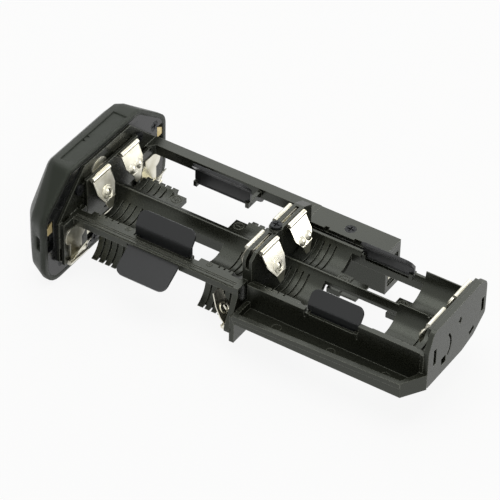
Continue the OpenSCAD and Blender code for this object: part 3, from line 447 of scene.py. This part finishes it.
knob_axis = Vector(hinges["knob"]["pos_m"])
knob_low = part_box("lock_knob")[0]
bar_half = 2.2 * MM
ridge_pitch = 1.5 * MM
ridge_count = 9
ridge_length, ridge_radius = 1.6 * MM, 0.4 * MM
top_margin, sink = 0.35 * MM, 0.05 * MM
ridges = bmesh.new()
for side in (-1, 1):
    for i in range(ridge_count):
        y = (i - (ridge_count - 1) / 2) * ridge_pitch
        foot = Vector((knob_low.x + top_margin, y, knob_axis.z + side * (bar_half - sink)))
        ridge_rod(ridges, foot, ridge_length, Vector((0, 0, side)), ridge_radius)
bmesh.ops.recalc_face_normals(ridges, faces=ridges.faces)
piece("knob_ridges", ridges, soft_paint, "knob")
print("ridges:", 2 * ridge_count)

# %% [markdown]
# ## Printed marks on the cap
#
# Round the knob the cap carries a pad-printed arc with a dot at one end and a ring at the other: the bar
# points at the ring when the bolts are in and at the dot when they are out. Pad printing leaves a film of
# pale ink about 0.03 mm thick, a little uneven where the pad lifted.

# %% Printed marks on the cap
def pad_ink():
    material, tree, shader = blank("pad_printed_ink")
    place = add(tree, "TexCoord").outputs["Object"]
    specks = add(tree, "TexNoise", inputs={"Vector": place, "Scale": per_mm(0.6), "Detail": 4.0})
    cover = add(tree, "MapRange", inputs={"Value": specks.outputs["Fac"], "From Min": 0.35, "From Max": 0.6})
    tone = add(tree, "Mix", {"data_type": "RGBA"}, {MIX_FACTOR: cover.outputs["Result"],
                                                   MIX_A: linear("#9a9b98"), MIX_B: linear("#c3c4c0")})
    tree.links.new(tone.outputs[MIX_OUT], shader.inputs["Base Color"])
    shader.inputs["Roughness"].default_value = 0.55
    return material


def flat_ring(mesh, place, inner, outer, start, stop, steps=32):
    """Adds a flat ring, disc or arc in the XY plane of a matrix, between two angles in degrees."""
    angles = [math.radians(start + (stop - start) * i / steps) for i in range(steps + 1)]
    rows = [[mesh.verts.new(place @ Vector((r * math.cos(a), r * math.sin(a), 0))) for a in angles]
            for r in (inner, outer)]
    for i in range(steps):
        mesh.faces.new((rows[0][i], rows[1][i], rows[1][i + 1], rows[0][i + 1]))


ink = pad_ink()
film = 0.03 * MM
cap_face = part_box("cap_shell")[0].x - film
mark_r = 14.6 * MM
line_half = 0.25 * MM
arc_from, arc_to = 12, 76
dot_r, ring_hole, dot_hole = 1.15 * MM, 0.7 * MM, 0.01 * MM
seen_from_outside = Matrix(((0, 0, -1), (1, 0, 0), (0, 1, 0))).to_4x4()
marks = bmesh.new()
on_axis = Matrix.Translation((cap_face, 0, knob_axis.z)) @ seen_from_outside
flat_ring(marks, on_axis, mark_r - line_half, mark_r + line_half, arc_from, arc_to)
ring_place = on_axis @ Matrix.Translation((mark_r, 0, 0))
dot_place = on_axis @ Matrix.Translation((0, mark_r, 0))
flat_ring(marks, ring_place, ring_hole, dot_r, 0, 360)
flat_ring(marks, dot_place, dot_hole, dot_r, 0, 360)
piece("cap_marks", marks, ink, "frame")
print("printed marks on the cap at x =", round(cap_face / MM, 2), "mm")

# %% [markdown]
# ## Ejector marks
#
# Pins push a moulding out of its mould and leave faint rings. They are small half-round rings, found by
# rays on the trough's floor, the terminal block and the undersides, so they always lie on the surface.

# %% Ejector marks
trough_low, trough_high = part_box("frame_right")
block_low, block_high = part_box("terminal_housing")
above, below = 60 * MM, -20 * MM
down, up = Vector((0, 0, -1)), Vector((0, 0, 1))
wall_to_middle = 5.2 * MM
trough_y = trough_low.y + wall_to_middle
trough_length = trough_high.x - trough_low.x
block_y = (block_low.y + block_high.y) / 2
block_length = block_high.x - block_low.x
pin_marks = [("frame_right", (trough_low.x + share * trough_length, trough_y, above), down)
             for share in (0.2, 0.5, 0.8)]
pin_marks += [("frame_right", (trough_low.x + share * trough_length, trough_y, below), up)
              for share in (0.15, 0.5, 0.85)]
pin_marks += [("terminal_housing", (block_low.x + share * block_length, block_y, below), up)
              for share in (0.25, 0.75)]
pin_ring = round_profile(inner=1.3 * MM, outer=1.5 * MM, height=0.06 * MM, sink=0.05 * MM)
rings = bmesh.new()
for node, start, direction in pin_marks:
    point, normal = touch(node, Vector(start), direction)
    turn_profile(rings, pin_ring, facing(point, normal))
piece("ejector_marks", rings, nylon, "frame")
print("ejector marks:", len(pin_marks))

# %% [markdown]
# ## Floor, light and camera
#
# The object stands on a white sweep in soft light from all sides, as in a catalogue. The floor is pale
# and takes a soft shadow, and looks white to the camera. A lamp above, one behind and one low on the right
# give the soft reflections that shape dark plastic and plated metal.

# %% Floor
def sweep_white(glow_share=0.9):
    """White paper that glows by a share towards the camera and in mirrors, and keeps shadows."""
    material = bpy.data.materials.new("sweep_white")
    material.use_nodes = True
    tree = material.node_tree
    tree.nodes.clear()
    paper = add(tree, "BsdfDiffuse", inputs={"Color": linear("#e6e6e4")})
    glow = add(tree, "Emission", inputs={"Color": linear("#ffffff"), "Strength": 1.0})
    path = add(tree, "LightPath")
    mirrored = add(tree, "Math", {"operation": "MAXIMUM"})
    tree.links.new(path.outputs["Is Camera Ray"], mirrored.inputs[0])
    tree.links.new(path.outputs["Is Glossy Ray"], mirrored.inputs[1])
    share = add(tree, "Math", {"operation": "MULTIPLY"})
    tree.links.new(mirrored.outputs["Value"], share.inputs[0])
    share.inputs[1].default_value = glow_share
    mix = add(tree, "MixShader", inputs={"Fac": share.outputs["Value"]})
    tree.links.new(paper.outputs["BSDF"], mix.inputs[1])
    tree.links.new(glow.outputs["Emission"], mix.inputs[2])
    add(tree, "OutputMaterial", inputs={"Surface": mix.outputs["Shader"]})
    return material


sheet = bmesh.new()
reach = 3.0
gap = 0.05 * MM
bmesh.ops.create_grid(sheet, x_segments=2, y_segments=2, size=reach,
                      matrix=Matrix.Translation((0, 0, -gap)))
floor_mesh = bpy.data.meshes.new("floor")
sheet.to_mesh(floor_mesh)
sheet.free()
floor_mesh.materials.append(sweep_white())
floor = bpy.data.objects.new("floor", floor_mesh)
bpy.context.scene.collection.objects.link(floor)
print("floor at z =", -gap)

# %% Light
def soft_box(name, place, target, size, watts):
    """Square lamp at a place, aimed at a target."""
    lamp = bpy.data.lights.new(name, "AREA")
    lamp.size = size
    lamp.energy = watts
    thing = bpy.data.objects.new(name, lamp)
    thing.location = place
    thing.rotation_euler = (Vector(target) - Vector(place)).to_track_quat("-Z", "Y").to_euler()
    bpy.context.scene.collection.objects.link(thing)


scene = bpy.context.scene
scene.world = bpy.data.worlds.new("studio")
scene.world.use_nodes = True
tree = scene.world.node_tree
tree.nodes.clear()
room_light = 0.4
room = add(tree, "Background", inputs={"Color": linear("#f4f4f2"), "Strength": room_light})
white = add(tree, "Background", inputs={"Color": linear("#ffffff"), "Strength": 1.0})
path = add(tree, "LightPath")
seen = add(tree, "Math", {"operation": "MAXIMUM"})
tree.links.new(path.outputs["Is Camera Ray"], seen.inputs[0])
tree.links.new(path.outputs["Is Glossy Ray"], seen.inputs[1])
clear = add(tree, "Math", {"operation": "MAXIMUM"})
tree.links.new(seen.outputs["Value"], clear.inputs[0])
tree.links.new(path.outputs["Is Transmission Ray"], clear.inputs[1])
mix = add(tree, "MixShader", inputs={"Fac": clear.outputs["Value"]})
tree.links.new(room.outputs["Background"], mix.inputs[1])
tree.links.new(white.outputs["Background"], mix.inputs[2])
add(tree, "OutputWorld", inputs={"Surface": mix.outputs["Shader"]})

middle = (0, 0, 15 * MM)
soft_box("top_box", (0.0, -0.05, 0.8), middle, 0.6, 3.0)
soft_box("back_box", (-0.42, 0.68, 0.66), middle, 0.8, 2.0)
soft_box("right_box", (0.72, 0.63, 0.18), middle, 0.4, 2.2)
scene.view_settings.view_transform = "Standard"

# %% [markdown]
# ## Camera
#
# The camera stands where the picture was taken from: about 32 degrees round to the right, 40 degrees
# up, with a long lens and a slight tilt of the frame.

# %% Camera
azimuth, elevation, roll = (math.radians(angle) for angle in (32.084, 39.992, 1.412))
right = Vector((math.cos(azimuth), math.sin(azimuth), 0))
back = Vector((math.sin(azimuth) * math.cos(elevation), -math.cos(azimuth) * math.cos(elevation),
               math.sin(elevation)))
turned = Matrix((right, back.cross(right), back)).transposed().to_4x4() @ Matrix.Rotation(roll, 4, "Z")
view = bpy.data.cameras.new("catalogue")
view.sensor_width = 36
view.lens = 228.08
view.clip_start = 0.05
stand = (0.38176, -0.61478, 0.62671)
eye = bpy.data.objects.new("catalogue", view)
eye.matrix_world = Matrix.Translation(stand) @ turned
scene.collection.objects.link(eye)
scene.camera = eye
print("camera distance:", round(eye.location.length, 3), "m")
